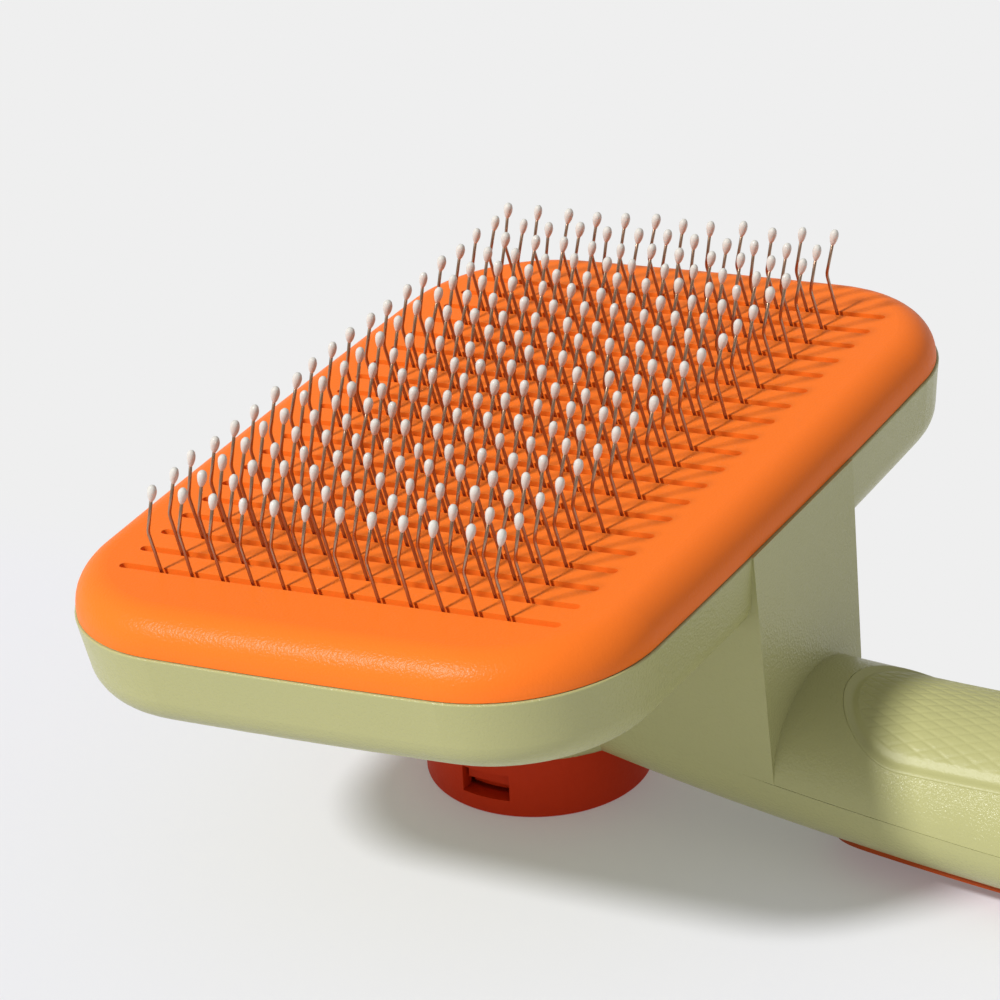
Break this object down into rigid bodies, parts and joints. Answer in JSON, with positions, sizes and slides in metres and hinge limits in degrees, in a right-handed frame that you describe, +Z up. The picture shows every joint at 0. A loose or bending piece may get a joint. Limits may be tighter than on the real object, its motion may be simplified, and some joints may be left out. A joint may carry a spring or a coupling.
{
  "type": "slicker brush",
  "caption": "Self-cleaning pet slicker brush: bent wire pins with resin tips behind a slotted plate that a round sprung button pushes out.",
  "frame": {"origin": "centre of the push button's flat end, on the floor that the brush stands on", "axes": "+X from the head to the handle's tail, +Z up through the button and the pins, so the pins point up"},
  "size_m": [0.1979, 0.1098, 0.0574],
  "materials": {
    "green_plastic": "satin, fine spark texture",
    "grip_green": "satin, diamond lattice",
    "orange_plastic": "satin, fine spark texture",
    "deep_orange": "satin",
    "inner_plastic": "matte",
    "pin_wire": "polished wire",
    "tip_resin": "gloss",
    "spring_steel": "bright",
    "screw_steel": "zinc"
  },
  "bodies": {
    "brush": {"body_shell": "green_plastic", "back_shell": "green_plastic", "grip_pad": "grip_green", "back_trim": "deep_orange", "pin_base": "orange_plastic", "pin_backing": "inner_plastic", "base_screws": "screw_steel", "return_spring": "spring_steel", "shell_screws": "screw_steel", "pin_row_01": "pin_wire", "pin_row_02": "pin_wire", "pin_row_03": "pin_wire", "pin_row_04": "pin_wire", "pin_row_05": "pin_wire", "pin_row_06": "pin_wire", "pin_row_07": "pin_wire", "pin_row_08": "pin_wire", "pin_row_09": "pin_wire", "pin_row_10": "pin_wire", "pin_row_11": "pin_wire", "pin_row_12": "pin_wire", "pin_row_13": "pin_wire", "pin_row_14": "pin_wire", "pin_row_15": "pin_wire", "pin_row_16": "pin_wire", "pin_row_17": "pin_wire", "pin_row_18": "pin_wire", "pin_row_19": "pin_wire", "pin_row_20": "pin_wire", "tip_row_01": "tip_resin", "tip_row_02": "tip_resin", "tip_row_03": "tip_resin", "tip_row_04": "tip_resin", "tip_row_05": "tip_resin", "tip_row_06": "tip_resin", "tip_row_07": "tip_resin", "tip_row_08": "tip_resin", "tip_row_09": "tip_resin", "tip_row_10": "tip_resin", "tip_row_11": "tip_resin", "tip_row_12": "tip_resin", "tip_row_13": "tip_resin", "tip_row_14": "tip_resin", "tip_row_15": "tip_resin", "tip_row_16": "tip_resin", "tip_row_17": "tip_resin", "tip_row_18": "tip_resin", "tip_row_19": "tip_resin", "tip_row_20": "tip_resin"},
    "ejector": {"face_plate": "orange_plastic", "plunger": "deep_orange", "push_button": "deep_orange", "plate_screws": "screw_steel"}
  },
  "joints": [
    {"name": "button_press", "type": "slide", "parent": "brush", "child": "ejector", "axis": [0, 0, 1], "range_m": [0, 0.008], "stiffness_N_per_m": 300, "springref_m": -0.01, "deforming": ["return_spring"]}
  ]
}
